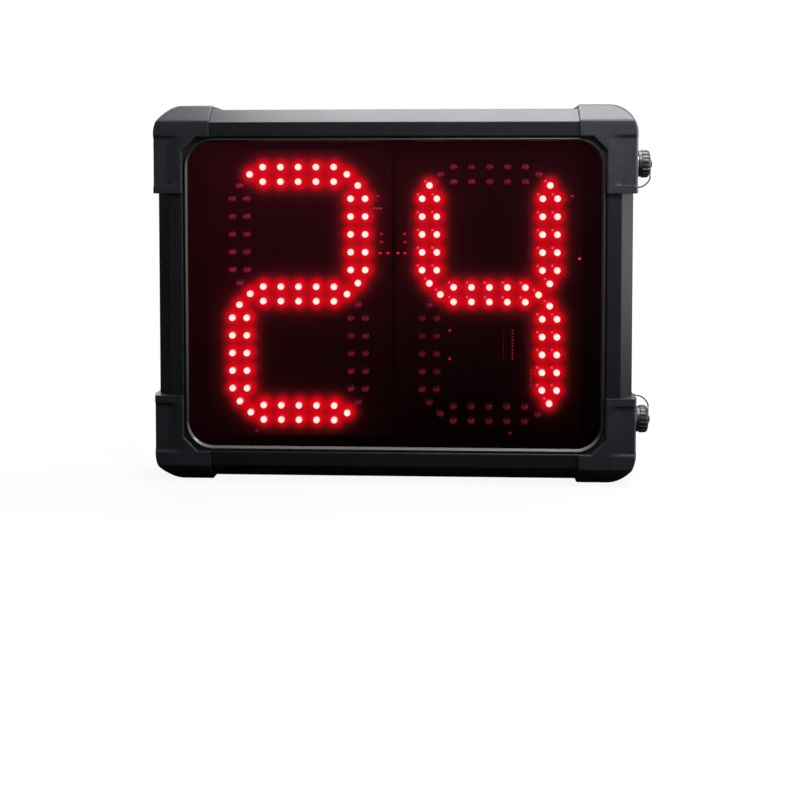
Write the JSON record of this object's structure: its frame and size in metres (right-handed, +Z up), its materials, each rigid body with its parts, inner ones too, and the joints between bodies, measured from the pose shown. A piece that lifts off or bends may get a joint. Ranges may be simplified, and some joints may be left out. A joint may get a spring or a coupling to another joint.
{
  "type": "countdown timer",
  "caption": "Wide countdown timer box with two large LED digits behind a smoked window, an extruded frame with plastic corners, and two capped round sockets on its side.",
  "frame": {"origin": "centre of the rear cover's raised flat panel, on its outer face", "axes": "+Y out of the back, so the digits face -Y; +X to the right seen from the front, towards the sockets; +Z up"},
  "size_m": [0.3905, 0.07, 0.293],
  "materials": {
    "frame_rail": "black anodised, satin",
    "corner_plastic": "fine moulded texture",
    "gasket": "smooth grey",
    "window": "polished, smoked red",
    "cover": "black powder coat",
    "circuit_board": "solder resist",
    "led_lit": "lit red epoxy lenses",
    "led_dark": "unlit red epoxy lenses",
    "bar": "mill finish",
    "converter_case": "black",
    "buzzer": "moulded",
    "nickel": "nickel plated",
    "cap_metal": "black plated, knurled",
    "seal": "matte black",
    "tether": "bare wire",
    "screw": "black oxide",
    "lead": "matte black jacket",
    "ribbon": "grey flat cable"
  },
  "bodies": {
    "timer_box": {"top_rail": "frame_rail", "bottom_rail": "frame_rail", "left_rail": "frame_rail", "right_rail": "frame_rail", "top_left_corner": "corner_plastic", "top_right_corner": "corner_plastic", "bottom_left_corner": "corner_plastic", "bottom_right_corner": "corner_plastic", "window_gasket": "gasket", "front_window": "window", "rear_cover": "cover", "left_digit_board": "circuit_board", "right_digit_board": "circuit_board", "left_segment_a": "led_lit", "left_segment_b": "led_lit", "left_segment_c": "led_dark", "left_segment_d": "led_lit", "left_segment_e": "led_lit", "left_segment_f": "led_dark", "left_segment_g": "led_lit", "right_segment_a": "led_dark", "right_segment_b": "led_lit", "right_segment_c": "led_lit", "right_segment_d": "led_dark", "right_segment_e": "led_dark", "right_segment_f": "led_lit", "right_segment_g": "led_lit", "upper_board_bar": "bar", "lower_board_bar": "bar", "controller_board": "circuit_board", "radio_module": "circuit_board", "power_converter": "converter_case", "buzzer": "buzzer", "upper_socket": "nickel", "upper_socket_nut": "nickel", "upper_socket_seal": "seal", "upper_tether_anchor": "nickel", "lower_socket": "nickel", "lower_socket_nut": "nickel", "lower_socket_seal": "seal", "lower_tether_anchor": "nickel", "power_lead": "lead", "signal_lead": "lead", "left_ribbon_cable": "ribbon", "right_ribbon_cable": "ribbon", "top_left_corner_screw": "screw", "top_right_corner_screw": "screw", "bottom_left_corner_screw": "screw", "bottom_right_corner_screw": "screw", "top_cover_screw": "screw", "bottom_cover_screw": "screw", "left_cover_screw": "screw", "right_cover_screw": "screw"},
    "upper_cap_swivel": {"upper_cap_tag": "nickel", "upper_tether": "tether"},
    "upper_cap": {"upper_cap": "cap_metal"},
    "lower_cap_swivel": {"lower_cap_tag": "nickel", "lower_tether": "tether"},
    "lower_cap": {"lower_cap": "cap_metal"}
  },
  "joints": [
    {"name": "upper_cap_travel", "type": "slide", "parent": "timer_box", "child": "upper_cap_swivel", "axis": [1, 0, 0], "range_m": [0, 0.006], "deforming": ["upper_tether"]},
    {"name": "upper_cap_unscrew", "type": "hinge", "parent": "upper_cap_swivel", "child": "upper_cap", "pos_m": [0.1914, -0.0226, 0.1015], "axis": [1, 0, 0], "range_deg": [0, 2160]},
    {"name": "lower_cap_travel", "type": "slide", "parent": "timer_box", "child": "lower_cap_swivel", "axis": [1, 0, 0], "range_m": [0, 0.006], "deforming": ["lower_tether"]},
    {"name": "lower_cap_unscrew", "type": "hinge", "parent": "lower_cap_swivel", "child": "lower_cap", "pos_m": [0.1914, -0.0226, -0.1015], "axis": [1, 0, 0], "range_deg": [0, 2160]}
  ],
  "couplings": [
    {"joint": "upper_cap_unscrew", "follows": "upper_cap_travel", "rad_per_m": 6283.2},
    {"joint": "lower_cap_unscrew", "follows": "lower_cap_travel", "rad_per_m": 6283.2}
  ]
}
